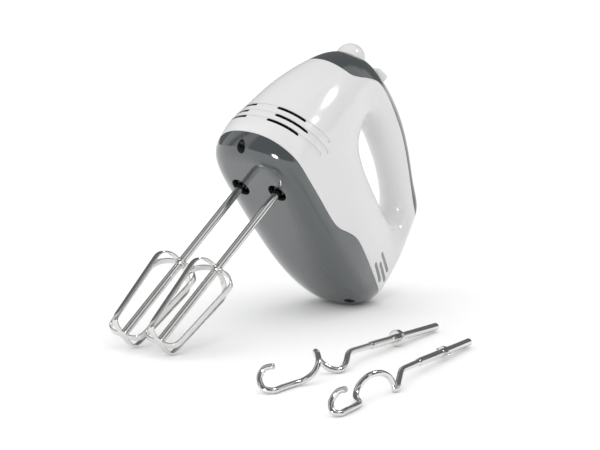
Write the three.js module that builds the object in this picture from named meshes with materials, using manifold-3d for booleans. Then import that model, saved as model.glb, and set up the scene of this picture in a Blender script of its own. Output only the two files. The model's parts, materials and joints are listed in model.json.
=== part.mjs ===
// Hand mixer with two beaters in its sockets and two dough hooks beside it.
// Millimetres, +Z up. The mixer stands nose up on its heel, with the beaters' tips just off the worktop.
// Inside the mixer's own group, +X runs to the nose, +Y to its left side and +Z from the beaters to the
// handle, with the origin midway between the two beater sockets, on the flat underside.
import * as THREE from "three";
import { mergeVertices } from "three/addons/utils/BufferGeometryUtils.js";
import Module from "manifold-3d";

const wasm = await Module();
wasm.setup();

// ---- driving dimensions -------------------------------------------------------------------
const PITCH = (54.76 * Math.PI) / 180; // nose-up lean of the standing mixer
const STAND = 90.4; // height of the socket plane's origin above the worktop
const HEEL_BACK = 90.5; // how far the heel's rest lies behind that origin
const SOCKETS = 32; // distance between the two beater axes
const REACH = 139.5; // beater hub below the underside
const WALL = 2.4; // housing wall
const GAP = 0.3; // clearance between neighbouring pieces

const SHAFT_R = 2.6; // beater shaft
const SEAT = 29; // depth of the beater shaft inside its spindle
const CROWN = 72; // where the wings leave the shaft, below the underside
const WING_R = 17.5; // widest radius of a wing
const TIP_R = 13.4; // radius of a wing's lower corner
const WING_TURN = (10 * Math.PI) / 180; // how far the two loops of wings lean towards each other
const STRIP = 4.6; // width of the wing strip
const STRIP_T = 1.1; // thickness of the wing strip

const MOTOR_Z = 28; // motor axis above the underside
const AXLE_R = 2.5; // motor shaft
const SPINDLE_R = 4.2; // outer radius of a spindle tube
const SPINDLE_BORE = 2.95;
const GEAR_TIP = 11.3;
const GEAR_ROOT = 9.6;
const GEAR_TEETH = 22;
const WORM_TIP = 4.4;
const WORM_ROOT = 3.3;

const BUTTON = { x: 9.4, z: 120.4, r: 10.2 }; // centre and radius of the eject button's dome
const SLIDER_X = -18; // speed slider at its off position
const SLIDER_TRAVEL = 12;

// Stations round the loop of housing and handle, seen from the side. Each is a line from the edge of
// the finger opening to the outside, with the half width at its two ends, how far each end is rounded,
// and how square the outer rounding is.
// [inner x, inner z, outer x, outer z, inner half, outer half, inner round, outer round, power]
const STATIONS = [
  [-28, 86, 42.3, 26, 16.5, 36.8, 8, 42, 2.25],
  [-30.5, 84.5, 41.2, 14, 16, 36.8, 8, 38, 2.25],
  [-34, 82.4, 36.6, 4.2, 15.5, 36.8, 8, 31, 2.3],
  [-39, 80.7, 27, -0.4, 15, 36.8, 8, 23, 2.6],
  [-44, 79.4, 10, -1.5, 15, 36.8, 8, 17, 2.9],
  [-52, 78.2, -15, -0.9, 14.5, 36.8, 8, 16, 2.9],
  [-64, 77.6, -50, -0.1, 14, 35.8, 8, 16, 2.9],
  [-76, 77.3, -82, 1.3, 14, 33.2, 8, 17, 2.7],
  [-86, 77.3, -106.5, 6.6, 13.5, 29, 8, 17, 2.6],
  [-93, 77.6, -120.5, 14.4, 13.5, 25.8, 8, 17, 2.6],
  [-99, 78.3, -130.3, 27.6, 13.5, 22.2, 8, 19, 2.5],
  [-103, 80, -133, 46, 13.5, 19.8, 8, 22, 2.25],
  [-105.5, 82.5, -131.3, 65, 13, 17.6, 8, 20, 2.1],
  [-105.5, 85.5, -126, 87, 12.5, 15.3, 8, 14, 2],
  [-102, 90, -118.8, 107.1, 12, 13.4, 9, 9, 2.1],
  [-93, 95.3, -98, 117.2, 12.3, 12.5, 10.6, 11, 2],
  [-77, 100.8, -78.8, 125.9, 12.3, 12.3, 11.8, 12.4, 2],
  [-60, 103.8, -57.3, 132.3, 12.5, 12.9, 12.5, 14, 2],
  [-45, 105.2, -34, 134, 13, 14.2, 12.5, 15, 2],
  [-34, 103.6, -12, 131.4, 14.5, 16.5, 12, 17, 2],
  [-28.4, 100.8, 8.2, 125, 15.5, 19.5, 11, 20, 2],
  [-25.4, 97.4, 23.2, 112.8, 16, 22.5, 9.5, 25, 2],
  [-24.3, 93.7, 32, 93, 16.5, 27, 9, 32, 2.1],
  [-25.4, 89.6, 38.8, 64, 16.5, 33, 8, 39, 2.2],
];
const STEPS = 2; // mesh rings per station

// Side-view line where the white upper housing meets the grey bottom shell, nose to heel.
const SPLIT = [
  [70, 13.4], [41, 13.4], [26, 12.6], [9, 12.6], [-12, 13.5], [-30, 14.2], [-40, 15.4], [-47, 18],
  [-53, 21.6], [-60, 25.4], [-67, 27.7], [-77, 28.7], [-98, 30.2], [-122, 32], [-160, 34.4],
];
// Side-view lower edge of the grey handle cover, front to rear.
const COVER = [
  [60, 96.2], [33, 96.2], [26, 96.2], [19, 97.2], [12, 102.4], [4, 109.8],
  [-8, 118.6], [-22, 122.6], [-38, 123.1], [-60, 120.8], [-80, 114.5], [-98, 106.6],
  [-108, 101.8], [-116, 98.8], [-121, 100.6], [-127, 112],
];
const VENT_Z = [26.6, 32.5, 38.9]; // nose slots, above the underside
const VENT_Y = [[9, 30.8], [11.6, 33.1], [9, 28.9]]; // their run across each side of the nose
const VENT_H = 2.25;
const REAR_BARS = [[-109.4, 47.9], [-112.4, 41.6], [-107.1, 36.2]]; // centres of the bars near the heel
const BAR = { length: 17.6, height: 3.2, tilt: 0.06 };

// ---- materials -------------------------------------------------------------------------------
const paint = (color, roughness, metalness = 0) =>
  new THREE.MeshStandardMaterial({ color, roughness, metalness });
const WHITE = paint(0xf2f2f1, 0.22);
const SLATE = paint(0x4d5456, 0.28);
const CHROME = paint(0xc9c9c7, 0.12, 1);
const STEEL = paint(0x9a9c9e, 0.35, 1);
const BRASS = paint(0xb08d4c, 0.35, 1);
const COPPER = paint(0xa9603a, 0.4, 1);
const NYLON = paint(0xe4e0d2, 0.5);
const BLACK = paint(0x1c1d1f, 0.5);
const RUBBER = paint(0x17181a, 0.85);
const CARBON = paint(0x2b2b2c, 0.8);
const ALLOY = paint(0xa8abad, 0.45, 1);

// ---- solids -------------------------------------------------------------------------------------
function solid(geometry) {
  const g = geometry.clone();
  g.deleteAttribute("normal");
  g.deleteAttribute("uv");
  const m = mergeVertices(g, 1e-4);
  return new wasm.Manifold(
    new wasm.Mesh({
      numProp: 3,
      vertProperties: new Float32Array(m.attributes.position.array),
      triVerts: new Uint32Array(m.index.array),
    }),
  );
}

function geometryOf(manifold) {
  const m = manifold.getMesh();
  const g = new THREE.BufferGeometry();
  g.setAttribute("position", new THREE.BufferAttribute(new Float32Array(m.vertProperties), 3));
  g.setIndex(new THREE.BufferAttribute(new Uint32Array(m.triVerts), 1));
  g.computeVertexNormals();
  return g;
}

const at = (geometry, x, y, z) => geometry.translate(x, y, z);
const box = (x0, x1, y0, y1, z0, z1) =>
  at(new THREE.BoxGeometry(x1 - x0, y1 - y0, z1 - z0), (x0 + x1) / 2, (y0 + y1) / 2, (z0 + z1) / 2);

// A turned piece about +Z from a closed half profile of [radius, height].
const turned = (profile, sides = 20) =>
  new THREE.LatheGeometry(profile.map(([r, z]) => new THREE.Vector2(r, z)), sides).rotateX(Math.PI / 2);

// A tube or rod about +Z.
function tube(outer, inner, z0, z1, sides = 20) {
  const ring = inner > 0
    ? [[inner, z0], [outer, z0], [outer, z1], [inner, z1], [inner, z0]]
    : [[0, z0], [outer, z0], [outer, z1], [0, z1]];
  return turned(ring, sides);
}

const alongX = (geometry) => geometry.rotateY(Math.PI / 2); // turns a +Z piece to lie along +X
const rod = (r, z0, z1, sides = 20) => tube(r, 0, z0, z1, sides);

// A side-view polygon of [x, z], extruded across the mixer from y0 to y1.
function plate(points, y0, y1) {
  const shape = new THREE.Shape(points.map(([x, z]) => new THREE.Vector2(x, z)));
  return new THREE.ExtrudeGeometry(shape, { depth: y1 - y0, bevelEnabled: false, curveSegments: 1 })
    .rotateX(Math.PI / 2)
    .translate(0, y1, 0);
}

function mesh(name, shape, material) {
  const geometry = shape instanceof THREE.BufferGeometry ? shape : geometryOf(shape);
  const m = new THREE.Mesh(geometry, material);
  m.name = name;
  return m;
}

// ---- housing ------------------------------------------------------------------------------------
function station(t) {
  const n = STATIONS.length;
  const i = Math.floor(t);
  const f = t - i;
  const rows = [-1, 0, 1, 2].map((k) => STATIONS[(i + k + n) % n]);
  return rows[0].map((_, c) => {
    const [a, b, p, d] = rows.map((row) => row[c]);
    const spline = b + 0.5 * f * (p - a + f * (2 * a - 5 * b + 4 * p - d + f * (3 * (b - p) + d - a)));
    return c < 4 ? spline : b + (p - b) * f;
  });
}

const rounding = (q, power) => Math.pow(Math.max(0, 1 - Math.pow(Math.max(0, 1 - q), power)), 1 / power);

// The ring of points of one station: from the opening's edge over the left side to the outside and
// back over the right side. The inset makes the cavity of a walled housing.
function ringAt(t, inset) {
  const fine = inset === 0;
  const [ix, iz, ox, oz, innerHalf, outerHalf, innerRound, outerRound, power] = station(t);
  const length = Math.hypot(ox - ix, oz - iz);
  const dx = (ox - ix) / length;
  const dz = (oz - iz) / length;
  const deep = inset > 0 && oz < 10 ? inset + 0.9 : inset;
  const run = length - inset - deep;
  const rIn = Math.min(innerRound - inset * 0.7, run * 0.49);
  const rOut = Math.min(outerRound - inset * 0.7, run * 0.49);
  const places = [];
  const inner = fine ? [0, 26, 54, 90] : [0, 34, 90];
  const middle = fine ? [0.5] : [0.45];
  const outer = fine ? [90, 64, 44, 28, 14, 0] : [90, 52, 26, 0];
  for (const a of inner) places.push(rIn * (1 - Math.cos((a * Math.PI) / 180)));
  for (const k of middle) places.push(rIn + (run - rIn - rOut) * k);
  for (const a of outer) places.push(run - rOut * (1 - Math.cos((a * Math.PI) / 180)));
  const side = places.map((s) => {
    const ease = Math.sin((Math.PI / 2) * Math.min(1, (s + inset) / (0.72 * length)));
    const half = innerHalf + (outerHalf - innerHalf) * ease - inset;
    const y = half * rounding(s / rIn, 2) * rounding((run - s) / rOut, power);
    return [ix + dx * (inset + s), Math.max(y, 0), iz + dz * (inset + s)];
  });
  const back = side.slice(1, -1).reverse().map(([x, y, z]) => [x, -y, z]);
  return [...side, ...back];
}

function loopBody(inset) {
  const rings = [];
  const steps = inset === 0 ? STEPS : 1;
  for (let i = 0; i < STATIONS.length * steps; i++) rings.push(ringAt(i / steps, inset));
  const n = rings[0].length;
  const index = [];
  for (let i = 0; i < rings.length; i++) {
    const j = (i + 1) % rings.length;
    for (let k = 0; k < n; k++) {
      const l = (k + 1) % n;
      const [a, b, c, d] = [i * n + k, i * n + l, j * n + l, j * n + k];
      index.push(a, b, c, a, c, d);
    }
  }
  const g = new THREE.BufferGeometry();
  g.setAttribute("position", new THREE.BufferAttribute(new Float32Array(rings.flat(2)), 3));
  g.setIndex(index);
  return g;
}

// Everything above a side-view line, shifted by d.
function above(line, d, top = 160) {
  const points = line.map(([x, z]) => [x, z + d]);
  return solid(plate([...points, [points.at(-1)[0], top], [points[0][0], top]], -60, 60));
}

// A closed solid of the mixer's outside, cut flat under the sockets and at the heel.
function outside() {
  const floor = at(new THREE.BoxGeometry(400, 200, 40), 0, 0, -20);
  const heelCut = new THREE.BoxGeometry(300, 200, 40)
    .translate(0, 0, -STAND - 20)
    .rotateY(PITCH);
  return solid(loopBody(0)).subtract(solid(floor)).subtract(solid(heelCut));
}

// Screw recesses in the bottom shell: [x, y, z of the recess's mouth].
const SCREWS = {
  nose_screw: [35.5, 0, 3.5],
  heel_screw_left: [-112, 16, 11],
  heel_screw_right: [-112, -16, 11],
};
const HEAD_Z = 4.8; // seat of a screw head above its recess's mouth

// Six trim bars let flush into the sides near the heel, with the pockets that hold them.
function barParts(shell) {
  const meshes = [];
  const pockets = [];
  for (const [side, s] of [["left", 1], ["right", -1]])
    REAR_BARS.forEach(([x, z], i) => {
      const prism = (grow) => {
        const block = new THREE.BoxGeometry(BAR.length + grow, 30, BAR.height + grow);
        return solid(block.rotateY(-BAR.tilt).translate(x, s * 30, z));
      };
      const bar = prism(0).intersect(shell).subtract(solid(loopBody(1.1)));
      meshes.push(mesh("trim_bar_" + side + "_" + (i + 1), bar, SLATE));
      pockets.push(prism(2 * GAP).subtract(solid(loopBody(1.5))));
    });
  return { meshes, pockets };
}

// The largest of a solid's separate pieces.
function biggest(manifold) {
  return manifold.decompose().reduce((a, b) => (b.volume() > a.volume() ? b : a));
}

function housingParts() {
  const shell = outside();
  const hollow = shell.subtract(solid(loopBody(WALL)));
  const overSplit = above(SPLIT, GAP / 2);
  const overCover = above(COVER, GAP / 2);
  const underCover = (s) => s.subtract(above(COVER, -GAP / 2));

  let bottom = hollow.subtract(above(SPLIT, -GAP / 2));
  let upper = hollow.intersect(overSplit).subtract(above(COVER, -GAP / 2));
  for (const [x, y, z] of Object.values(SCREWS)) {
    const stump = solid(at(rod(5, z - 6, z + 12, 16), x, y, 0)).intersect(shell);
    const post = stump.subtract(above(SPLIT, -GAP / 2));
    const outward = box(x - 1, x + 1, Math.min(y, 3 * y), Math.max(y, 3 * y), z, 60);
    const web = y === 0 ? box(x, 60, -1, 1, z, 46) : outward;
    const pillar = solid(at(rod(4, z, 46, 14), x, y, 0)).add(solid(web));
    const top = pillar.intersect(shell).intersect(overSplit);
    bottom = bottom
      .add(post)
      .subtract(solid(at(rod(3.4, z - 12, z + HEAD_Z, 16), x, y, 0)))
      .subtract(solid(at(rod(1.9, z - 12, z + 30, 16), x, y, 0)));
    upper = upper.add(top).subtract(solid(at(rod(1.8, z - 12, z + 28, 12), x, y, 0)));
  }
  for (const y of [-SOCKETS / 2, SOCKETS / 2])
    bottom = bottom.subtract(solid(at(rod(6.9, -6, 8, 24), 0, y, 0)));
  for (const s of [-1, 1])
    VENT_Z.forEach((z, i) => {
      const [y0, y1] = VENT_Y[i];
      const [a, b] = s > 0 ? [y0, y1] : [-y1, -y0];
      upper = upper.subtract(solid(box(20, 60, a, b, z - VENT_H / 2, z + VENT_H / 2)));
    });
  const bars = barParts(shell);
  upper = bars.pockets.reduce((left, pocket) => left.subtract(pocket), upper);
  upper = upper.subtract(solid(at(alongX(rod(5.1, -150, -120, 16)), 0, 0, 62)));

  const buttonHole = solid(at(rod(BUTTON.r + 0.4, 96, 160, 28), BUTTON.x, 0, 0));
  const slot = solid(box(SLIDER_X - 2.9 - SLIDER_TRAVEL, SLIDER_X + 2.9, -3, 3, 110, 160));
  const cover = hollow.intersect(overCover).subtract(buttonHole).subtract(slot);

  return [
    mesh("upper_housing", biggest(upper), WHITE),
    mesh("bottom_shell", bottom, SLATE),
    mesh("handle_cover", cover, SLATE),
    ...bars.meshes,
    mesh("cord_gland", at(alongX(tube(4.8, 3, -137, -126, 16)), 0, 0, 62), RUBBER),
  ];
}

function housingScrews() {
  const h = HEAD_Z;
  const profile = [[0, h - 2.4], [3, h - 2.4], [3, h], [1.45, h], [1.45, h + 13], [0, h + 13]];
  return Object.entries(SCREWS).map(([name, [x, y, z]]) =>
    mesh(name, at(turned(profile, 12), x, y, z - GAP), STEEL),
  );
}

// ---- drive train --------------------------------------------------------------------------------
function gearbox() {
  let deck = solid(box(-14, 22, -25, 25, 10, 13));
  for (const y of [-SOCKETS / 2, SOCKETS / 2]) deck = deck.subtract(solid(at(rod(6.5, 5, 20), 0, y, 0)));
  const wall = (x0, x1, z0, z1, y, hole) =>
    solid(box(x0, x1, -y, y, z0, z1)).subtract(solid(at(alongX(rod(hole, x0 - 5, x1 + 5)), 0, 0, MOTOR_Z)));
  const front = wall(15, 18, 13.3, 40, 13, 5.3);
  const rear = wall(-88, -85, 9, 47, 20, 5.3);
  const bearing = (x0, x1) => at(alongX(tube(5, AXLE_R + 0.3, x0, x1, 16)), 0, 0, MOTOR_Z);
  const flanged = [[4.5, 9], [7.4, 9], [7.4, 9.7], [6.2, 9.7], [6.2, 14], [4.5, 14], [4.5, 9]];
  const bush = (s) => at(turned(flanged), 0, (s * SOCKETS) / 2, 0);
  return [
    mesh("gearbox_deck", deck, ALLOY),
    mesh("front_bearing_bracket", front, ALLOY),
    mesh("rear_bearing_bracket", rear, BLACK),
    mesh("front_bearing", bearing(14, 19), BRASS),
    mesh("rear_bearing", bearing(-89, -84), BRASS),
    mesh("spindle_bush_left", bush(1), BRASS),
    mesh("spindle_bush_right", bush(-1), BRASS),
  ];
}

function statorParts() {
  const core = solid(box(-58, -32, -22, 22, 6.5, 49.5)).subtract(
    solid(at(alongX(rod(15.8, -70, -20, 28)), 0, 0, MOTOR_Z)),
  );
  const coil = (x0, x1) => at(alongX(tube(20.5, 16.4, x0, x1, 24)), 0, 0, MOTOR_Z);
  const holder = (s) =>
    solid(box(-77, -69, s * 15 - 6, s * 15 + 6, 24, 32)).subtract(
      solid(box(-75.6, -70.4, s * 15 - 9, s * 15 + 9, 25.4, 30.6)),
    );
  const brush = (s) => box(-75.3, -70.7, s * 14 - 5.6, s * 14 + 5.6, 25.7, 30.3);
  return [
    mesh("field_core", core, STEEL),
    mesh("field_coil_front", coil(-31.7, -25.5), COPPER),
    mesh("field_coil_rear", coil(-64.5, -58.3), COPPER),
    mesh("brush_holder_left", holder(1), BRASS),
    mesh("brush_holder_right", holder(-1), BRASS),
    mesh("carbon_brush_left", brush(1), CARBON),
    mesh("carbon_brush_right", brush(-1), CARBON),
    mesh("speed_switch", box(-38, -10, -7.5, 7.5, 111.5, 119.5), BLACK),
    mesh("capacitor", box(-124, -112, -8, 8, 50, 58), COPPER),
  ];
}

// A disc pack along +Z from x0 to x1 with slots cut into its rim and a bore through it.
function slotted(outer, slots, width, depth, x0, x1, bore) {
  const shape = new THREE.Shape();
  for (let i = 0; i < slots; i++) {
    const a = (i / slots) * 2 * Math.PI;
    const tooth = (2 * Math.PI) / slots - width / outer;
    const mark = (r, angle) => [r * Math.cos(angle), r * Math.sin(angle)];
    if (i === 0) shape.moveTo(...mark(outer, a));
    else shape.lineTo(...mark(outer, a));
    shape.lineTo(...mark(outer, a + tooth / 2));
    shape.lineTo(...mark(outer, a + tooth));
    shape.lineTo(...mark(outer - depth, a + tooth));
    shape.lineTo(...mark(outer - depth, a + (2 * Math.PI) / slots));
  }
  const hole = new THREE.Path();
  for (let i = 0; i < 12; i++) {
    const p = [bore * Math.cos((-i * Math.PI) / 6), bore * Math.sin((-i * Math.PI) / 6)];
    if (i === 0) hole.moveTo(...p);
    else hole.lineTo(...p);
  }
  shape.holes.push(hole);
  const pack = new THREE.ExtrudeGeometry(shape, { depth: x1 - x0, bevelEnabled: false, curveSegments: 1 });
  return pack.translate(0, 0, x0);
}

// The worm: a single ridge wound round the motor shaft.
function wormThread() {
  const turns = 5;
  const around = 12;
  const along = 32;
  const x0 = -8;
  const x1 = 8;
  const position = [];
  const index = [];
  for (let j = 0; j <= along; j++)
    for (let i = 0; i < around; i++) {
      const a = (i / around) * 2 * Math.PI;
      const x = x0 + ((x1 - x0) * j) / along;
      const phase = (((x - x0) / (x1 - x0)) * turns - i / around + 10) % 1;
      const ridge = 1 - Math.abs(2 * phase - 1);
      const r = WORM_ROOT + (WORM_TIP - WORM_ROOT) * Math.min(1, 1.5 * ridge);
      position.push(x, r * Math.cos(a), r * Math.sin(a));
    }
  for (let j = 0; j < along; j++)
    for (let i = 0; i < around; i++) {
      const k = (i + 1) % around;
      const [a, b, c, d] = [j * around + i, j * around + k, (j + 1) * around + k, (j + 1) * around + i];
      index.push(a, c, d, a, b, c);
    }
  const ends = [position.length / 3, position.length / 3 + 1];
  position.push(x0, 0, 0, x1, 0, 0);
  for (let i = 0; i < around; i++) {
    const k = (i + 1) % around;
    index.push(ends[0], k, i, ends[1], along * around + i, along * around + k);
  }
  const g = new THREE.BufferGeometry();
  g.setAttribute("position", new THREE.BufferAttribute(new Float32Array(position), 3));
  g.setIndex(index);
  return solid(g).subtract(solid(alongX(rod(AXLE_R + 0.3, -20, 20, 12))));
}

function rotorParts() {
  const axis = (g) => at(alongX(g), 0, 0, MOTOR_Z);
  let fan = solid(axis(tube(6, AXLE_R + 0.3, -102, -92, 14)));
  for (let i = 0; i < 9; i++) {
    const blade = new THREE.BoxGeometry(9, 1.2, 13)
      .rotateZ(0.5)
      .translate(-97, 0, 11)
      .rotateX((i * 2 * Math.PI) / 9)
      .translate(0, 0, MOTOR_Z);
    fan = fan.add(solid(blade));
  }
  const worm = wormThread().translate([0, 0, MOTOR_Z]);
  const winding = (x0, x1) =>
    axis(turned([[4, x0], [12, x0], [13.5, x0 + 1.5], [13.5, x1 - 1.5], [12, x1], [4, x1], [4, x0]], 18));
  return [
    mesh("motor_shaft", axis(rod(AXLE_R, -103, 21, 12)), STEEL),
    mesh("worm", worm, BRASS),
    mesh("armature_core", axis(slotted(15, 10, 2.6, 4, -58, -32, AXLE_R + 0.3)), STEEL),
    mesh("armature_winding_front", winding(-31.7, -25.5), COPPER),
    mesh("armature_winding_rear", winding(-64.5, -58.3), COPPER),
    mesh("commutator", axis(slotted(8, 12, 0.9, 1, -78, -67, AXLE_R + 0.3)), COPPER),
    mesh("cooling_fan", fan, BLACK),
  ];
}

function gearWheel(y) {
  const shape = new THREE.Shape();
  for (let i = 0; i < GEAR_TEETH; i++) {
    const a = ((i + 0.5) / GEAR_TEETH) * 2 * Math.PI;
    const p = (2 * Math.PI) / GEAR_TEETH;
    const mark = (r, angle) => [r * Math.cos(angle), r * Math.sin(angle)];
    if (i === 0) shape.moveTo(...mark(GEAR_ROOT, a - p * 0.36));
    else shape.lineTo(...mark(GEAR_ROOT, a - p * 0.36));
    shape.lineTo(...mark(GEAR_TIP, a - p * 0.14));
    shape.lineTo(...mark(GEAR_TIP, a + p * 0.14));
    shape.lineTo(...mark(GEAR_ROOT, a + p * 0.36));
  }
  const hole = new THREE.Path();
  for (let i = 0; i < 16; i++) {
    const a = (-i * Math.PI) / 8;
    const p = [(SPINDLE_R + GAP) * Math.cos(a), (SPINDLE_R + GAP) * Math.sin(a)];
    if (i === 0) hole.moveTo(...p);
    else hole.lineTo(...p);
  }
  shape.holes.push(hole);
  return new THREE.ExtrudeGeometry(shape, { depth: 8, bevelEnabled: false, curveSegments: 1 })
    .translate(0, y, MOTOR_Z - 4);
}

function spindleParts() {
  const made = [];
  for (const [side, s] of [["left", 1], ["right", -1]]) {
    const y = (s * SOCKETS) / 2;
    made.push(mesh("worm_gear_" + side, gearWheel(y), NYLON));
    made.push(mesh("spindle_" + side, at(tube(SPINDLE_R, SPINDLE_BORE, 6.2, 36, 16), 0, y, 0), STEEL));
  }
  return made;
}

// ---- beaters --------------------------------------------------------------------------------------
// Half loop of a wing in the plane of radius and height: out from the crown, down and back to the hub.
function wingLine() {
  const line = new THREE.CurvePath();
  const v = (r, z) => new THREE.Vector3(r, 0, z);
  const crown = v(2, -CROWN - 0.4);
  const shoulder = v(WING_R, -CROWN - 13);
  const corner = v(TIP_R, -REACH + 7);
  const hub = v(2, -REACH + 0.2);
  line.add(new THREE.CubicBezierCurve3(crown, v(9, -CROWN - 0.4), v(WING_R + 0.8, -CROWN - 4), shoulder));
  line.add(new THREE.LineCurve3(shoulder, corner));
  line.add(new THREE.CubicBezierCurve3(corner, v(TIP_R - 0.6, -REACH + 2.1), v(11.5, -REACH - 0.8), hub));
  return line;
}

function wingPoints() {
  const [top, side, foot] = wingLine().curves;
  return [...top.getPoints(7), ...side.getPoints(1).slice(1), ...foot.getPoints(6).slice(1)];
}

// A flat strip along the wing line, turned by an angle about the shaft.
function wing(angle) {
  const points = wingPoints();
  const position = [];
  const index = [];
  points.forEach((p, i) => {
    const a = points[Math.max(0, i - 1)];
    const b = points[Math.min(points.length - 1, i + 1)];
    const t = b.clone().sub(a).normalize();
    const n = new THREE.Vector3(t.z, 0, -t.x).multiplyScalar(STRIP_T / 2);
    for (const [k, w] of [[1, 1], [1, -1], [-1, -1], [-1, 1]])
      position.push(p.x + n.x * k, (w * STRIP) / 2, p.z + n.z * k);
  });
  for (let i = 0; i + 1 < points.length; i++)
    for (let k = 0; k < 4; k++) {
      const l = (k + 1) % 4;
      const [a, b, c, d] = [i * 4 + k, i * 4 + l, i * 4 + 4 + l, i * 4 + 4 + k];
      index.push(a, c, b, a, d, c);
    }
  const e = (points.length - 1) * 4;
  index.push(0, 1, 2, 0, 2, 3, e, e + 2, e + 1, e, e + 3, e + 2);
  const g = new THREE.BufferGeometry();
  g.setAttribute("position", new THREE.BufferAttribute(new Float32Array(position), 3));
  g.setIndex(index);
  return solid(g.rotateZ(angle));
}

function beaterParts() {
  const made = [];
  for (const [side, s] of [["left", 1], ["right", -1]]) {
    const y = (s * SOCKETS) / 2;
    let cage = solid(tube(SHAFT_R + 1.1, SHAFT_R + GAP, -CROWN - 2.6, -CROWN + 1.6, 16)).add(
      solid(rod(4.2, -REACH - 0.6, -REACH + 1, 16)),
    );
    for (let i = 0; i < 4; i++) cage = cage.add(wing((i * Math.PI) / 2 + (i % 2 ? WING_TURN : -WING_TURN)));
    cage = cage.subtract(solid(rod(SHAFT_R + GAP, -REACH + 1.01, 0, 16)));
    made.push(mesh("beater_cage_" + side, cage.translate([0, y, 0]), CHROME));
    made.push(mesh("beater_shaft_" + side, at(rod(SHAFT_R, -REACH + 1.3, SEAT, 14), 0, y, 0), CHROME));
    const lugs = solid(tube(4, SHAFT_R + GAP, 2.6, 5.8, 16)).add(
      solid(box(-6, 6, -0.9, 0.9, 3, 5.4)).subtract(solid(rod(3.4, 0, 9, 12))),
    );
    made.push(mesh("beater_collar_" + side, lugs.translate([0, y, 0]), CHROME));
  }
  return made;
}

// ---- controls ---------------------------------------------------------------------------------------
function controlParts() {
  const { x, z, r } = BUTTON;
  const dome = [[0, z - 10], [r, z - 10], [r, z]];
  for (const a of [18, 36, 54, 72]) {
    const t = (a * Math.PI) / 180;
    dome.push([r * Math.cos(t), z + r * Math.sin(t)]);
  }
  dome.push([0, z + r]);
  const half = SOCKETS / 2;
  const stem = (radius, z0, z1, sides = 12) => solid(at(rod(radius, z0, z1, sides), x, 0, 0));
  let yoke = solid(box(-3.5, 13, -half - 3, half + 3, 46, 49)).add(stem(2.5, 47, z - 10.3));
  yoke = yoke.add(stem(5.4, 74.4, 76, 16));
  for (const y of [-half, half]) yoke = yoke.add(solid(at(rod(2.2, SEAT + 0.5, 47, 12), 0, y, 0)));
  const bridge = solid(box(x - 6, x + 6, -27, 27, 50, 51.6)).subtract(stem(2.9, 45, 60));

  const spring = new THREE.ExtrudeGeometry(disc(0.5, 4), {
    steps: 44,
    curveSegments: 1,
    bevelEnabled: false,
    extrudePath: new SpringLine(4.2, 52.4, 73.5, 5.5),
  });

  const cap = [
    [SLIDER_X + 5.5, 131.9], [SLIDER_X + 5.2, 135.4], [SLIDER_X + 4.4, 136], [SLIDER_X - 4.6, 138.6],
    [SLIDER_X - 5.5, 138.2], [SLIDER_X - 5.5, 133.0],
  ];
  const slide = solid(plate(cap, -5.2, 5.2))
    .add(solid(box(SLIDER_X - 2.4, SLIDER_X + 2.4, -2.5, 2.5, 124, 134)))
    .add(solid(box(SLIDER_X - 4, SLIDER_X + 4, -5, 5, 121, 124.2)));
  return [
    mesh("eject_button", at(turned(dome, 26), x, 0, 0), WHITE),
    mesh("ejector_yoke", yoke, BLACK),
    mesh("ejector_spring", at(spring, x, 0, 0), STEEL),
    mesh("spring_bridge", bridge, STEEL),
    mesh("speed_slider", slide, WHITE),
  ];
}

// The centre line of a coil spring about +Z.
class SpringLine extends THREE.Curve {
  constructor(radius, z0, z1, turns) {
    super();
    Object.assign(this, { radius, z0, z1, turns });
  }
  getPoint(t, target = new THREE.Vector3()) {
    const a = t * this.turns * 2 * Math.PI;
    const z = this.z0 + (this.z1 - this.z0) * t;
    return target.set(this.radius * Math.cos(a), this.radius * Math.sin(a), z);
  }
}

// ---- dough hooks -----------------------------------------------------------------------------------
// Each hook lies on the worktop. Its table runs from the plain end of its shaft: [along, across, height].
const HOOK_SCALE = 0.93;
const HOOK_SHAFT_R = 2.8; // before scaling
const HOOK_R = 2.15;
const LIFT = 0.1; // keeps the hooks' lowest points just above the worktop
const HOOKS = {
  left: {
    start: [-59, 103.5],
    heading: 0.1475,
    fitting: 54,
    shaft: [[0, 0, 3.6], [89.5, 0.6, 7.7]],
    bends: [
      [80, 0.5, 7.3], [104, 0.9, 8.4], [117, 1.7, 9], [121.5, 2.6, 8.4], [130, 6.2, 5],
      [137, 8.4, 2.9], [143, 7.6, 2.2], [147, 2.6, 4], [149.8, -2, 8.5], [154.5, -3, 15.6],
      [162, 3.5, 16.6], [170, 9.2, 12.7], [176, 9, 6.8], [183.5, 5.6, 2.9], [190, 3.4, 2.2],
      [204, 2.4, 2.2], [214.5, 1.6, 2.2], [217.5, -3.4, 3.4], [215.6, -7.8, 7], [214.2, -8.6, 11],
      [212, -6.4, 15.6], [211, 0.4, 18],
    ],
  },
  right: {
    start: [-38.5, 147.5],
    heading: 0.2517,
    fitting: 43,
    shaft: [[0, 0, 3.6], [85, 0.8, 7.5]],
    bends: [
      [76, 0.7, 7.1], [100, 1.3, 8.2], [113, 2.2, 8.8], [118, 3.4, 8.4], [128, 6.6, 5.4], [136, 9.2, 3],
      [140.5, 9.6, 2.2], [140.4, 8.6, 5.4], [143.6, 6.6, 11], [155.5, 4.8, 16], [164.4, 1.2, 15.2],
      [169.4, -3, 9.4], [176.5, -1.8, 4.2], [184.6, 4.6, 2.4], [195.3, 6, 2.2], [207, 5.7, 2.2],
      [214.5, 5.2, 2.2], [217.6, 1.6, 3.6], [215.4, -0.8, 7.4], [213.2, -0.7, 11], [211.4, 2.4, 15.6],
      [211.6, 8.1, 18],
    ],
  },
};

function disc(radius, sides) {
  const ring = new THREE.Shape();
  ring.moveTo(radius, 0);
  for (let i = 1; i < sides; i++)
    ring.lineTo(radius * Math.cos((i * 2 * Math.PI) / sides), radius * Math.sin((i * 2 * Math.PI) / sides));
  return ring;
}

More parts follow.
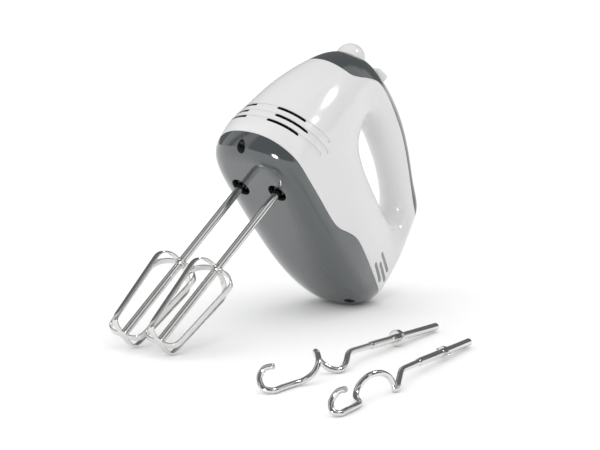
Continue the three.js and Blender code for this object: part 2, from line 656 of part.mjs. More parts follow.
// A hook's table point on the worktop.
function hookPoint(hook, [along, across, height]) {
  const [c, s] = [Math.cos(hook.heading), Math.sin(hook.heading)];
  const [a, b] = [along * HOOK_SCALE, across * HOOK_SCALE];
  const [x, y] = hook.start;
  return new THREE.Vector3(x + a * c - b * s, y + a * s + b * c, height * HOOK_SCALE + LIFT);
}

// Places a piece made along +Z, with its origin on the shaft's line at a distance from the plain end.
function onShaft(hook, geometry, along) {
  const [from, to] = hook.shaft.map((p) => hookPoint(hook, p));
  const way = to.clone().sub(from).normalize();
  const spot = from.clone().addScaledVector(way, along * HOOK_SCALE);
  const turn = new THREE.Quaternion().setFromUnitVectors(new THREE.Vector3(0, 0, 1), way);
  return geometry.applyQuaternion(turn).translate(spot.x, spot.y, spot.z);
}

function hookRod(hook) {
  const length = hook.shaft[1][0];
  const r = HOOK_SHAFT_R * HOOK_SCALE;
  const end = length * HOOK_SCALE;
  const shaft = turned([[0, 0], [r - 0.5, 0], [r, 0.6], [r, end], [0, end]], 14);
  const path = new THREE.CatmullRomCurve3(hook.bends.map((p) => hookPoint(hook, p)), false, "centripetal");
  const bent = new THREE.ExtrudeGeometry(disc(HOOK_R * HOOK_SCALE, 8), {
    steps: 66,
    bevelEnabled: false,
    extrudePath: path,
  });
  return solid(onShaft(hook, shaft, 0)).add(solid(bent));
}

function hookParts() {
  const clear = HOOK_SHAFT_R * HOOK_SCALE + GAP;
  const collar = tube(5.3, clear, -1.9, 1.9, 20);
  const ears = solid(tube(3.9, clear, -1.2, 1.2, 14))
    .add(solid(box(-0.9, 0.9, 3.2, 4.9, -1.2, 1.2)))
    .add(solid(box(-0.9, 0.9, -4.9, -3.2, -1.2, 1.2)));
  return [
    mesh("dough_hook_left", hookRod(HOOKS.left), CHROME),
    mesh("dough_hook_right", hookRod(HOOKS.right), CHROME),
    mesh("hook_collar_left", onShaft(HOOKS.left, collar, HOOKS.left.fitting), CHROME),
    mesh("hook_ears_right", onShaft(HOOKS.right, geometryOf(ears), HOOKS.right.fitting), CHROME),
  ];
}

// ---- assembly ----------------------------------------------------------------------------------------
const group = new THREE.Group();
group.name = "hand_mixer";

const mixer = new THREE.Group();
mixer.name = "mixer";
mixer.position.set(0, 0, STAND);
mixer.rotation.y = -PITCH;
mixer.add(
  ...housingParts(),
  ...housingScrews(),
  ...gearbox(),
  ...statorParts(),
  ...rotorParts(),
  ...spindleParts(),
  ...beaterParts(),
  ...controlParts(),
);
const worktop = new THREE.Group();
worktop.position.x = HEEL_BACK;
worktop.add(mixer, ...hookParts());
group.add(worktop);

export default group;
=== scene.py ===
"""Looks of a hand mixer with two beaters and two dough hooks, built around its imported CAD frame.

Shapes are made in millimetres in the mixer's own frame: +X towards the nose, +Y to its left, +Z up from
the flat under the beater sockets. Then they go to the worktop frame, where the mixer stands nose up.
"""
import json
import math

import bpy
import numpy as np
from mathutils import Matrix, Vector


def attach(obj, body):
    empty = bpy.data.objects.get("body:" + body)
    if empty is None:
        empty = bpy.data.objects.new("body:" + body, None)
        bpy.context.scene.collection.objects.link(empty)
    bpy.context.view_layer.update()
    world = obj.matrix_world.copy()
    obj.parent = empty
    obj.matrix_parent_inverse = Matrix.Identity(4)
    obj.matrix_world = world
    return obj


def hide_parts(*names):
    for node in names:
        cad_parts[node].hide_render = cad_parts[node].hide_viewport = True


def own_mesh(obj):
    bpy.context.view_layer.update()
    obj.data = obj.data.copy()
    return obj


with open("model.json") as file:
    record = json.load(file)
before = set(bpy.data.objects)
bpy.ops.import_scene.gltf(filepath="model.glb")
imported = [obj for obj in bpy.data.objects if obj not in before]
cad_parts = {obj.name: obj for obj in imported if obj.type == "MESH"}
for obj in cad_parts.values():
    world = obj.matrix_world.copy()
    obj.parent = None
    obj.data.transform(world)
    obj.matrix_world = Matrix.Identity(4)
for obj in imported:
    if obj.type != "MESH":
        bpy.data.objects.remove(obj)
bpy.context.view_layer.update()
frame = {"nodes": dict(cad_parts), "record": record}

# ---- driving sizes, in millimetres ---------------------------------------------------------------
PITCH = math.radians(54.76)  # nose-up lean of the standing mixer
STAND = 90.4  # height of the socket plane's origin above the worktop
HEEL_BACK = 90.5  # how far the heel's rest lies behind that origin
WALL = 2.4  # thickness of the housing's wall
GAP = 0.3  # clearance between neighbouring pieces
SIDES = {"left": 1, "right": -1}  # which way y grows from the middle of the mixer
CIRCLE_SIDES = 96  # on the larger round openings and the dome

SOCKETS = 32.0  # distance between the two beater axes
SOCKET_R, SOCKET_FROM, SOCKET_TO = 6.9, -8, 9  # openings for the beaters: radius, lower and upper end
REACH = 139.5  # from the socket plane down to the beaters' feet
SHAFT_R = 2.6
SEAT = 29.0  # from the socket plane up to the shafts' ends in the spindles
CROWN = 72.0  # from the socket plane down to the top of the cages
WING_R = 17.5  # half width of a cage at its shoulders
TIP_R = 13.4  # half width of a cage at its foot
WING_TURN = math.radians(10)  # the two loops of a cage lean together, so that the cages can pass
STRIP = 4.6  # width of the flat wire
STRIP_T = 1.1  # its thickness
STRIP_EDGE = 0.32  # radius of its rolled edges

BUTTON_X, BUTTON_Z, BUTTON_R = 9.4, 120.4, 10.2  # middle and radius of the dome
BUTTON_DEPTH = 10.0  # how far it goes down into the cover
BUTTON_CLEARANCE = 0.4
SLIDER_X, SLIDER_TRAVEL = -18.0, 12.0
SLOT_HALF, SLOT_WIDTH = 2.9, 6.0  # the slot reaches this far past the slider's middle, and across
BUTTON_HOLE_FROM, SLOT_FROM, OVER_COVER = 96, 110, 160  # heights that the two cuts in the cover run between
SPRING_TURNS, SPRING_R, SPRING_WIRE_R = 5.5, 4.2, 0.5
SPRING_LOW, SPRING_HIGH = 52.4, 73.5  # middle of the wire at both ends

VENT_Z = (26.6, 32.5, 38.9)  # heights of the vents and grooves on the nose
VENT_Y = ((9, 30.8), (11.6, 33.1), (9, 28.9))  # both ends of each vent, on the left
VENT_H = 2.25
VENT_FROM, VENT_TO = 20, 70  # each vent is cut from inside the nose to past its front, along x
GROOVE_ENDS = ((8.9, 31.0), (4.1, 37.9), (9.4, 43.0))  # (x, z) of the grooves' rear ends
GROOVE_BENDS = ((36, 0), (29, 0.06), (22, 0.3))  # (x, share of its rise) as a groove starts to climb
GROOVE_H = 2.5
GROOVE_DEPTH = 0.5
BAR_PLACES = ((-109.4, 47.9), (-112.4, 41.6), (-107.1, 36.2))  # (x, z) of the bars near the heel
BAR_LENGTH, BAR_HEIGHT, BAR_TILT = 17.6, 3.2, 0.06
BAR_FROM, BAR_TO = 8, 50  # distances from the middle that a bar's cut runs between
BAR_SINK = 1.1  # how deep the bars reach into the wall
BAR_RISE = 0.02  # how far they stand out of it
BAR_SLIT = 0.15  # clearance round each bar
SCREWS = {"nose": (35.5, 0.0, 3.5), "heel_left": (-112.0, 16.0, 11.0), "heel_right": (-112.0, -16.0, 11.0)}
POST_R, POST_FROM, POST_TO = 5.0, -6, 9  # posts round the screws: radius, ends from the screw's height
HOLE_R, HOLE_FROM, HOLE_TO = 3.4, -14, 4.8  # the recess under each screw, in the same way

# Side sections of the housing, as in the CAD: the edge of the finger opening (x, z), the outside (x, z),
# half widths at both, roundings of both edges, and how square the outer edge is.
STATIONS = np.array([
    [-28, 86, 42.3, 26, 16.5, 36.8, 8, 42, 2.25],
    [-30.5, 84.5, 41.2, 14, 16, 36.8, 8, 38, 2.25],
    [-34, 82.4, 36.6, 4.2, 15.5, 36.8, 8, 31, 2.3],
    [-39, 80.7, 27, -0.4, 15, 36.8, 8, 23, 2.6],
    [-44, 79.4, 10, -1.5, 15, 36.8, 8, 17, 2.9],
    [-52, 78.2, -15, -0.9, 14.5, 36.8, 8, 16, 2.9],
    [-64, 77.6, -50, -0.1, 14, 35.8, 8, 16, 2.9],
    [-76, 77.3, -82, 1.3, 14, 33.2, 8, 17, 2.7],
    [-86, 77.3, -106.5, 6.6, 13.5, 29, 8, 17, 2.6],
    [-93, 77.6, -120.5, 14.4, 13.5, 25.8, 8, 17, 2.6],
    [-99, 78.3, -130.3, 27.6, 13.5, 22.2, 8, 19, 2.5],
    [-103, 80, -133, 46, 13.5, 19.8, 8, 22, 2.25],
    [-105.5, 82.5, -131.3, 65, 13, 17.6, 8, 20, 2.1],
    [-105.5, 85.5, -126, 87, 12.5, 15.3, 8, 14, 2],
    [-102, 90, -118.8, 107.1, 12, 13.4, 9, 9, 2.1],
    [-93, 95.3, -98, 117.2, 12.3, 12.5, 10.6, 11, 2],
    [-77, 100.8, -78.8, 125.9, 12.3, 12.3, 11.8, 12.4, 2],
    [-60, 103.8, -57.3, 132.3, 12.5, 12.9, 12.5, 14, 2],
    [-45, 105.2, -34, 134, 13, 14.2, 12.5, 15, 2],
    [-34, 103.6, -12, 131.4, 14.5, 16.5, 12, 17, 2],
    [-28.4, 100.8, 8.2, 125, 15.5, 19.5, 11, 20, 2],
    [-25.4, 97.4, 23.2, 112.8, 16, 22.5, 9.5, 25, 2],
    [-24.3, 93.7, 32, 93, 16.5, 27, 9, 32, 2.1],
    [-25.4, 89.6, 38.8, 64, 16.5, 33, 8, 39, 2.2],
])
# The joint between the white and the grey shell in the side view (x, z), from the nose to the heel.
SPLIT = [
    (70, 13.4), (41, 13.4), (26, 12.6), (9, 12.6), (-12, 13.5), (-30, 14.2), (-40, 15.4), (-47, 18),
    (-53, 21.6), (-60, 25.4), (-67, 27.7), (-77, 28.7), (-98, 30.2), (-122, 32), (-160, 34.4),
]
# The lower edge of the grey cover in the side view (x, z), from the nose to the end of the handle.
COVER = [
    (60, 96.2), (33, 96.2), (26, 96.2), (19, 97.2), (12, 102.4), (4, 109.8),
    (-8, 118.6), (-22, 122.6), (-38, 123.1), (-60, 120.8), (-80, 114.5), (-98, 106.6),
    (-108, 101.8), (-116, 98.8), (-121, 100.6), (-127, 112),
]

# From millimetres to the worktop frame in metres: for the leaning mixer, and for what lies flat.
MILLIMETRES = Matrix.Scale(0.001, 4)
MIXER = (
    Matrix.Translation((HEEL_BACK / 1000, 0, STAND / 1000)) @ Matrix.Rotation(-PITCH, 4, "Y") @ MILLIMETRES
)
WORKTOP = Matrix.Translation((HEEL_BACK / 1000, 0, 0)) @ MILLIMETRES
SWAP_Y_Z = Matrix(((1, 0, 0, 0), (0, 0, 1, 0), (0, 1, 0, 0), (0, 0, 0, 1)))


# ---- materials -----------------------------------------------------------------------------------
COAT_ROUGHNESS = 0.06
SMOOTHEST = 0.02  # no finish is glossier than this anywhere
GRAIN_HEIGHT = 0.0002  # metres


def shader(name, color, roughness, metallic=0.0, spread=0.04, scale=60.0, bump=0.0, bump_scale=900.0,
           tint=0.03, coat=0.0, specular=0.5):
    """A finish with a slow change of roughness and shade over the surface and a fine grain."""
    m = bpy.data.materials.new(name)
    m.use_nodes = True
    nodes, links = m.node_tree.nodes, m.node_tree.links
    bsdf = nodes["Principled BSDF"]
    bsdf.inputs["Metallic"].default_value = metallic
    bsdf.inputs["Specular IOR Level"].default_value = specular
    bsdf.inputs["Coat Weight"].default_value = coat
    bsdf.inputs["Coat Roughness"].default_value = COAT_ROUGHNESS
    place = nodes.new("ShaderNodeTexCoord")
    slow = nodes.new("ShaderNodeTexNoise")
    slow.inputs["Scale"].default_value = scale
    slow.inputs["Detail"].default_value = 3.0
    links.new(place.outputs["Object"], slow.inputs["Vector"])
    rough = nodes.new("ShaderNodeMapRange")
    rough.inputs["To Min"].default_value = max(SMOOTHEST, roughness - spread)
    rough.inputs["To Max"].default_value = roughness + spread
    links.new(slow.outputs["Fac"], rough.inputs["Value"])
    links.new(rough.outputs["Result"], bsdf.inputs["Roughness"])
    shade = nodes.new("ShaderNodeMix")
    shade.data_type = "RGBA"
    shade.inputs["A"].default_value = (*[c * (1 - tint) for c in color], 1)
    shade.inputs["B"].default_value = (*[min(1, c * (1 + tint)) for c in color], 1)
    links.new(slow.outputs["Fac"], shade.inputs["Factor"])
    links.new(shade.outputs["Result"], bsdf.inputs["Base Color"])
    if bump:
        grain = nodes.new("ShaderNodeTexNoise")
        grain.inputs["Scale"].default_value = bump_scale
        grain.inputs["Detail"].default_value = 2.0
        links.new(place.outputs["Object"], grain.inputs["Vector"])
        relief = nodes.new("ShaderNodeBump")
        relief.inputs["Strength"].default_value = bump
        relief.inputs["Distance"].default_value = GRAIN_HEIGHT
        links.new(grain.outputs["Fac"], relief.inputs["Height"])
        links.new(relief.outputs["Normal"], bsdf.inputs["Normal"])
    return m


FINISHES = {
    "white_plastic": shader("white_gloss", (0.71, 0.71, 0.71), 0.16, spread=0.03, bump=0.04, tint=0.008),
    "slate_plastic": shader("slate_gloss", (0.056, 0.065, 0.069), 0.12, spread=0.03, bump=0.03, tint=0.04,
                            coat=0.6, specular=0.9),
    "black_plastic": shader("black_moulded", (0.02, 0.021, 0.022), 0.5, bump=0.3),
    "nylon": shader("nylon", (0.74, 0.70, 0.58), 0.42, bump=0.1),
    "carbon": shader("carbon", (0.03, 0.03, 0.03), 0.7, bump=0.4),
    "rubber": shader("rubber", (0.02, 0.02, 0.022), 0.7, bump=0.4),
    "chrome": shader("chrome", (0.74, 0.74, 0.73), 0.13, metallic=1.0, spread=0.03, scale=140, bump=0.02,
                     bump_scale=400, tint=0.03),
    "steel": shader("steel", (0.46, 0.47, 0.48), 0.32, metallic=1.0, bump=0.15, bump_scale=1500),
    # Steel painted dark as shade: on the collars deep in the sockets and on the screws in their recesses.
    "shaded_steel": shader("steel_darkened_for_shade", (0.06, 0.06, 0.062), 0.3, metallic=1.0, bump=0.15,
                         bump_scale=1500),
    "brass": shader("brass", (0.62, 0.44, 0.18), 0.3, metallic=1.0, bump=0.1),
    "copper": shader("copper_wire", (0.42, 0.14, 0.06), 0.35, metallic=0.7, bump=0.8, bump_scale=1800),
    "alloy": shader("die_cast", (0.45, 0.46, 0.47), 0.45, metallic=1.0, bump=0.5, bump_scale=700),
}


# ---- mesh tools ----------------------------------------------------------------------------------
def piece(name, verts, faces):
    """A new object in the scene from points and faces."""
    mesh = bpy.data.meshes.new(name)
    mesh.from_pydata([tuple(v) for v in verts], [], faces)
    mesh.update()
    obj = bpy.data.objects.new(name, mesh)
    bpy.context.scene.collection.objects.link(obj)
    return obj


def applied(obj):
    """The object with its modifiers made part of its mesh."""
    graph = bpy.context.evaluated_depsgraph_get()
    mesh = bpy.data.meshes.new_from_object(obj.evaluated_get(graph))
    obj.modifiers.clear()
    old = obj.data
    obj.data = mesh
    bpy.data.meshes.remove(old)
    return obj


def cut(obj, tool, operation="DIFFERENCE", keep=False):
    """Cuts, joins or intersects with a tool. A tool with no material gets the piece's own."""
    if not any(tool.data.materials):
        tool.data.materials.clear()
        for material in obj.data.materials:
            tool.data.materials.append(material)
    step = obj.modifiers.new("cut", "BOOLEAN")
    step.object = tool
    step.operation = operation
    step.solver = "MANIFOLD"
    applied(obj)
    if not keep:
        bpy.data.objects.remove(tool)
    return obj


def smooth(obj, angle):
    """Shades the mesh smooth, except at edges sharper than an angle in degrees."""
    mesh = obj.data
    mesh.polygons.foreach_set("use_smooth", [True] * len(mesh.polygons))
    mesh.set_sharp_from_angle(angle=math.radians(angle))
    mesh.update()
    return obj


def shade_lined(tool):
    """A cutting tool whose cut faces come out black: painted shade on the walls of the cut, like the painted
    shade inside the housing.
    """
    tool.data.materials.append(FINISHES["white_plastic"])
    tool.data.materials.append(FINISHES["black_plastic"])
    tool.data.polygons.foreach_set("material_index", [1] * len(tool.data.polygons))
    return tool


def bevelled(obj, width, segments=3, angle=30):
    """Rounds the edges that are sharper than an angle in degrees."""
    step = obj.modifiers.new("round", "BEVEL")
    step.width = width
    step.segments = segments
    step.limit_method = "ANGLE"
    step.angle_limit = math.radians(angle)
    return applied(obj)


def placed(obj, matrix, body, node, finish, angle=35):
    """Puts a finished piece in the worktop frame, on its body and in place of its CAD node."""
    smooth(obj, angle)
    obj.data.transform(matrix)
    if obj.data.materials:
        obj.data.materials[0] = FINISHES[finish]
    else:
        obj.data.materials.append(FINISHES[finish])
    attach(obj, body)
    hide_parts(node)
    return obj


def prism(outline, low, high, axis="y"):
    """An outline in the side view (x, z) run across y, or one in the front view (y, z) run along x."""
    n = len(outline)
    spot = (lambda p, d: (p[0], d, p[1])) if axis == "y" else (lambda p, d: (d, p[0], p[1]))
    verts = [spot(p, low) for p in outline] + [spot(p, high) for p in outline]
    area = sum(a[0] * b[1] - b[0] * a[1] for a, b in zip(outline, outline[1:] + outline[:1]))
    order = list(range(n)) if (area > 0) == (axis == "x") else list(range(n))[::-1]
    faces = [order[::-1], [i + n for i in order]]
    for i in range(n):
        a, b = order[i], order[(i + 1) % n]
        faces.append([a, b, b + n, a + n])
    return piece("prism", verts, faces)


def stadium(a0, a1, height, middle, steps=8):
    """A slot's outline with round ends, from a0 to a1."""
    r = height / 2
    turn = [math.pi * (i / steps - 0.5) for i in range(steps + 1)]
    right = [(a1 - r + r * math.cos(t), middle + r * math.sin(t)) for t in turn]
    left = [(a0 + r - r * math.cos(t), middle - r * math.sin(t)) for t in turn]
    return right + left


def disc(radius, sides=24):
    """Points of a circle."""
    angles = np.linspace(0, math.tau, sides, endpoint=False)
    return [(radius * math.cos(a), radius * math.sin(a)) for a in angles]


def turned(name, profile, sides=64):
    """A lathe piece about z from (radius, z) points that start and end on the axis."""
    verts, rings = [], []
    for r, z in profile:
        if r == 0:
            rings.append([len(verts)])
            verts.append((0, 0, z))
            continue
        rings.append(list(range(len(verts), len(verts) + sides)))
        verts += [(x, y, z) for x, y in disc(r, sides)]
    faces = []
    for low, high in zip(rings, rings[1:]):
        for i in range(sides):
            j = (i + 1) % sides
            if len(low) == 1:
                faces.append([low[0], high[j], high[i]])
            elif len(high) == 1:
                faces.append([low[i], low[j], high[0]])
            else:
                faces.append([low[i], low[j], high[j], high[i]])
    return piece(name, verts, faces)


def ring_solid(name, profile, sides=64):
    """A lathe piece about z from a closed (radius, z) outline that stays off the axis."""
    n = len(profile)
    angles = np.linspace(0, math.tau, sides, endpoint=False)
    verts = [(r * math.cos(a), r * math.sin(a), z) for a in angles for r, z in profile]
    faces = []
    for i in range(sides):
        j = (i + 1) % sides
        for k in range(n):
            m = (k + 1) % n
            faces.append([i * n + k, j * n + k, j * n + m, i * n + m])
    return piece(name, verts, faces)


def rod(radius, z0, z1, x, y, sides=48):
    """A cylinder along z."""
    return moved(turned("rod", [(0, z0), (radius, z0), (radius, z1), (0, z1)], sides), x, y, 0)


def moved(obj, x, y, z):
    """The object with its mesh moved."""
    obj.data.transform(Matrix.Translation((x, y, z)))
    return obj


def spline(points, per_span):
    """A centripetal Catmull-Rom curve through points."""
    p = np.array(points, float)
    p = np.vstack([2 * p[0] - p[1], p, 2 * p[-1] - p[-2]])
    out = []
    for a, b, c, d in zip(p, p[1:], p[2:], p[3:]):
        t0 = 0.0
        t1 = t0 + np.linalg.norm(b - a) ** 0.5
        t2 = t1 + np.linalg.norm(c - b) ** 0.5
        t3 = t2 + np.linalg.norm(d - c) ** 0.5
        for t in np.linspace(t1, t2, per_span, endpoint=False):
            ab = (t1 - t) / (t1 - t0) * a + (t - t0) / (t1 - t0) * b
            bc = (t2 - t) / (t2 - t1) * b + (t - t1) / (t2 - t1) * c
            cd = (t3 - t) / (t3 - t2) * c + (t - t2) / (t3 - t2) * d
            abc = (t2 - t) / (t2 - t0) * ab + (t - t0) / (t2 - t0) * bc
            bcd = (t3 - t) / (t3 - t1) * bc + (t - t1) / (t3 - t1) * cd
            out.append((t2 - t) / (t2 - t1) * abc + (t - t1) / (t2 - t1) * bcd)
    out.append(p[-2])
    return np.array(out)


SKEW = (0.3, 0.2, 0.93)  # a direction that no wire runs along


def swept(name, path, section, side=None):
    """A closed section (across, out) swept along a path, with its across direction starting at side."""
    path = np.array(path, float)
    n, m = len(path), len(section)
    tangents = np.gradient(path, axis=0)
    tangents /= np.linalg.norm(tangents, axis=1)[:, None]
    across = np.array(side if side is not None else np.cross(tangents[0], SKEW), float)
    verts = []
    for p, t in zip(path, tangents):
        across = across - t * (across @ t)
        across /= np.linalg.norm(across)
        out = np.cross(t, across)
        verts += [p + across * a + out * b for a, b in section]
    faces = [list(range(m))[::-1], [(n - 1) * m + k for k in range(m)]]
    for i in range(n - 1):
        for k in range(m):
            j = (k + 1) % m
            faces.append([i * m + k, i * m + j, (i + 1) * m + j, (i + 1) * m + k])
    return piece(name, verts, faces)


# ---- housing -------------------------------------------------------------------------------------
RINGS_PER_STATION = 12
POINTS_PER_SIDE = 52
BLEND_WIDTH = 3.5  # rings over which a change from station to station is evened out
BLEND_REACH = 12  # rings on each side that still count
WIDEN_SHARE = 0.72  # share of a section's length over which it reaches its outer width
ROUND_SHARE = 0.49  # most of a section's length that the rounding of one edge may take
INSET_ROUND = 0.7  # how much of an inset comes off the roundings
FLOOR_EXTRA, FLOOR_FROM, FLOOR_EASE = 0.9, 14, 8  # extra wall near the underside, and where it sets in
ARC_SAMPLES = 600
SOCKET_EASE, HEEL_EASE = 0.5, 0.35  # softness of the creases round both flats
BEYOND = 60  # outside the housing on either side
AHEAD = 80  # in front of the nose
ABOVE = 170  # over the top of the housing


def dense_stations():
    """The station table along a closed smooth curve."""
    n = len(STATIONS)
    rows = []
    for i in range(n):
        a, b, c, d = (STATIONS[(i + k) % n] for k in (-1, 0, 1, 2))
        for f in np.arange(RINGS_PER_STATION) / RINGS_PER_STATION:
            rows.append(b + 0.5 * f * (c - a + f * (2 * a - 5 * b + 4 * c - d + f * (3 * (b - c) + d - a))))
    rows = np.array(rows)
    reach = np.arange(-BLEND_REACH, BLEND_REACH + 1)
    weights = np.exp(-0.5 * (reach / BLEND_WIDTH) ** 2)
    weights /= weights.sum()
    return sum(w * np.roll(rows, k, axis=0) for w, k in zip(weights, reach))


DENSE = dense_stations()


def rounding(q, power):
    """The rise of a rounded edge, from 0 at q = 0 to 1 from q = 1 on."""
    return np.maximum(0, 1 - np.maximum(0, 1 - q) ** power) ** (1 / power)


def half_ring(row, inset, count):
    """Points of a section's left half, evenly spaced from the opening's edge round to the outside."""
    ix, iz, ox, oz, inner_half, outer_half, inner_round, outer_round, power = row
    length = math.hypot(ox - ix, oz - iz)
    dx, dz = (ox - ix) / length, (oz - iz) / length
    deep = inset
    if inset:
        deep += FLOOR_EXTRA * min(1, max(0, (FLOOR_FROM - oz) / FLOOR_EASE))
    run = length - inset - deep
    r_in = min(inner_round - INSET_ROUND * inset, ROUND_SHARE * run)
    r_out = min(outer_round - INSET_ROUND * inset, ROUND_SHARE * run)
    s = run * 0.5 * (1 - np.cos(np.linspace(0, math.pi, ARC_SAMPLES)))
    ease = np.sin(math.pi / 2 * np.minimum(1, (s + inset) / (WIDEN_SHARE * length)))
    half = inner_half + (outer_half - inner_half) * ease - inset
    y = half * rounding(s / r_in, 2) * rounding((run - s) / r_out, power)
    y[0] = y[-1] = 0
    gone = np.concatenate([[0], np.cumsum(np.hypot(np.diff(s), np.diff(y)))])
    even = np.linspace(0, gone[-1], count + 1)
    s, y = np.interp(even, gone, s), np.interp(even, gone, y)
    return np.stack([ix + dx * (inset + s), y, iz + dz * (inset + s)], axis=1)


def soft_floor(height, ease):
    """The height, kept above 0 with a soft crease."""
    return 0.5 * (height + np.sqrt(height ** 2 + ease ** 2))


def trimmed(points, inset):
    """Flattens points under the sockets and at the heel's rest."""
    p = points.copy()
    p[:, 2] = inset + soft_floor(p[:, 2] - inset, SOCKET_EASE)
    up = np.array([math.sin(PITCH), 0, math.cos(PITCH)])
    height = STAND + p @ up - inset
    return p + np.outer(soft_floor(height, HEEL_EASE) - height, up)


def loop_surface(inset, every=1, count=POINTS_PER_SIDE):
    """Vertices and faces of the closed loop of the housing, drawn in by an inset."""
    verts, faces = [], []
    for row in DENSE[::every]:
        left = half_ring(row, inset, count)
        right = left[1:-1][::-1] * (1, -1, 1)
        verts.append(trimmed(np.vstack([left, right]), inset))
    n, m = len(verts[0]), len(verts)
    for i in range(m):
        j = (i + 1) % m
        for k in range(n):
            l = (k + 1) % n
            faces.append([i * n + k, i * n + l, j * n + l, j * n + k])
    return np.vstack(verts), faces


def loop_solid(inset, **how):
    """The housing's loop as one solid, drawn in by an inset."""
    return piece("loop", *loop_surface(inset, **how))


def hollow_loop():
    """The housing's loop with its cavity, white outside and black inside, the black being painted shade in
    the cavity.
    """
    outer, faces = loop_surface(0)
    inner, cavity = loop_surface(WALL, every=3, count=20)
    cavity = [[k + len(outer) for k in f[::-1]] for f in cavity]
    body = piece("housing", np.vstack([outer, inner]), faces + cavity)
    # The cavity's faces take black: painted shade.
    for material in (FINISHES["white_plastic"], FINISHES["black_plastic"]):
        body.data.materials.append(material)
    body.data.polygons.foreach_set("material_index", [0] * len(faces) + [1] * len(cavity))
    return body


def region_above(line, shift):
    """All that lies above a side-view line, which is moved up by a shift."""
    outline = [(x, z + shift) for x, z in line]
    return prism(outline + [(outline[-1][0], ABOVE), (outline[0][0], ABOVE)], -BEYOND, BEYOND)


def copy_of(obj):
    """A second object with a mesh of its own."""
    twin = bpy.data.objects.new(obj.name, obj.data.copy())
    bpy.context.scene.collection.objects.link(twin)
    return twin


def fine_line(line):
    """A side-view line with its corners rounded off."""
    return [tuple(p) for p in spline([(x, z, 0) for x, z in line], 6)[:, :2]]


def bar_prism(x, z, side, grow):
    """A bar near the heel, run across one side of the housing and grown by a margin."""
    c, s = math.cos(BAR_TILT), math.sin(BAR_TILT)
    outline = stadium(-BAR_LENGTH / 2 - grow, BAR_LENGTH / 2 + grow, BAR_HEIGHT + 2 * grow, 0)
    outline = [(x + a * c - b * s, z + a * s + b * c) for a, b in outline]
    return prism(outline, *sorted((side * BAR_FROM, side * BAR_TO)))


def groove_outline(z, end):
    """A vent groove in the side view: level round the nose, then rising to a round end."""
    x1, z1 = end
    rise = z1 - z
    line = [(AHEAD, z, 0)]
    line += [(x, z + share * rise, 0) for x, share in GROOVE_BENDS]
    halfway = 0.45 * line[-1][0] + 0.55 * x1
    line += [(halfway, z + 0.66 * rise, 0), (x1 + 1, z1, 0)]
    middle = spline(line, 6)[:, :2]
    way = np.gradient(middle, axis=0)
    way /= np.linalg.norm(way, axis=1)[:, None]
    across = np.stack([-way[:, 1], way[:, 0]], axis=1) * GROOVE_H / 2
    tip, out, side = middle[-1], way[-1] * GROOVE_H / 2, across[-1]
    cap = [tip + side * math.cos(t) + out * math.sin(t) for t in np.linspace(0, math.pi, 9)[1:-1]]
    points = [*(middle + across), *cap, *(middle - across)[::-1]]
    return [tuple(p) for p in points]


def make_bottom(body, split):
    """The grey shell: the housing below the split, with the beater openings and the screw posts."""
    bottom = copy_of(body)
    cut(bottom, region_above(split, -GAP / 2))
    # The socket walls come out black: painted shade in the openings.
    for y in (-SOCKETS / 2, SOCKETS / 2):
        cut(bottom, shade_lined(rod(SOCKET_R, SOCKET_FROM, SOCKET_TO, 0, y, CIRCLE_SIDES)))
    outer = loop_solid(0, every=2)
    for x, y, z in SCREWS.values():
        post = rod(POST_R, z + POST_FROM, z + POST_TO, x, y)
        cut(post, outer, "INTERSECT", keep=True)
        cut(bottom, post, "UNION")
        # The screw recess walls come out black: painted shade.
        cut(bottom, shade_lined(rod(HOLE_R, z + HOLE_FROM, z + HOLE_TO, x, y)))
    bpy.data.objects.remove(outer)
    return bottom


def make_cover(body, cover_line):
    """The grey cover: the housing above its line, with the dome's hole and the slider's slot."""
    cover = copy_of(body)
    cut(cover, region_above(cover_line, GAP / 2), "INTERSECT")
    hole = BUTTON_R + BUTTON_CLEARANCE
    cut(cover, rod(hole, BUTTON_HOLE_FROM, OVER_COVER, BUTTON_X, 0, CIRCLE_SIDES))
    rear, front = SLIDER_X - SLOT_HALF - SLIDER_TRAVEL, SLIDER_X + SLOT_HALF
    slot = prism(stadium(rear, front, SLOT_WIDTH, 0), SLOT_FROM, OVER_COVER)
    slot.data.transform(SWAP_Y_Z)
    slot.data.flip_normals()
    cut(cover, slot)
    return cover


def cut_nose(upper):
    """The shallow grooves round the nose, and the vents through both its sides."""
    inset = loop_solid(GROOVE_DEPTH, every=2)
    for z, end in zip(VENT_Z, GROOVE_ENDS):
        groove = prism(groove_outline(z, end), -BEYOND, BEYOND)
        cut(groove, inset, keep=True)
        cut(upper, groove)
    bpy.data.objects.remove(inset)
    # The vents' walls come out black: painted shade.
    for z, (y0, y1) in zip(VENT_Z, VENT_Y):
        for side in SIDES.values():
            a, b = sorted((side * y0, side * y1))
            cut(upper, shade_lined(prism(stadium(a, b, VENT_H, z), VENT_FROM, VENT_TO, axis="x")))


def make_bars(upper):
    """The grey bars near the heel, each in its own slit of the white shell."""
    outer = loop_solid(-BAR_RISE)
    deep = loop_solid(BAR_SINK, every=2)
    for name, side in SIDES.items():
        for i, (x, z) in enumerate(BAR_PLACES, 1):
            cut(upper, bar_prism(x, z, side, BAR_SLIT))
            bar = bar_prism(x, z, side, 0)
            cut(bar, outer, "INTERSECT", keep=True)
            cut(bar, deep, keep=True)
            bar.name = f"trim_bar_{name}_{i}_look"
            placed(bar, MIXER, "housing", f"trim_bar_{name}_{i}", "slate_plastic")
    bpy.data.objects.remove(outer)
    bpy.data.objects.remove(deep)


def make_housing():
    """The two shells and the cover, cut out of one hollow loop."""
    body = hollow_loop()
    split, cover_line = fine_line(SPLIT), fine_line(COVER)
    bottom = make_bottom(body, split)
    cover = make_cover(body, cover_line)
    upper = body
    cut(upper, region_above(split, GAP / 2), "INTERSECT")
    cut(upper, region_above(cover_line, -GAP / 2))
    cut_nose(upper)
    make_bars(upper)
    for obj, node, finish in (
        (upper, "upper_housing", "white_plastic"),
        (bottom, "bottom_shell", "slate_plastic"),
        (cover, "handle_cover", "slate_plastic"),
    ):
        obj.name = node + "_look"
        placed(obj, MIXER, "housing", node, finish, angle=40)


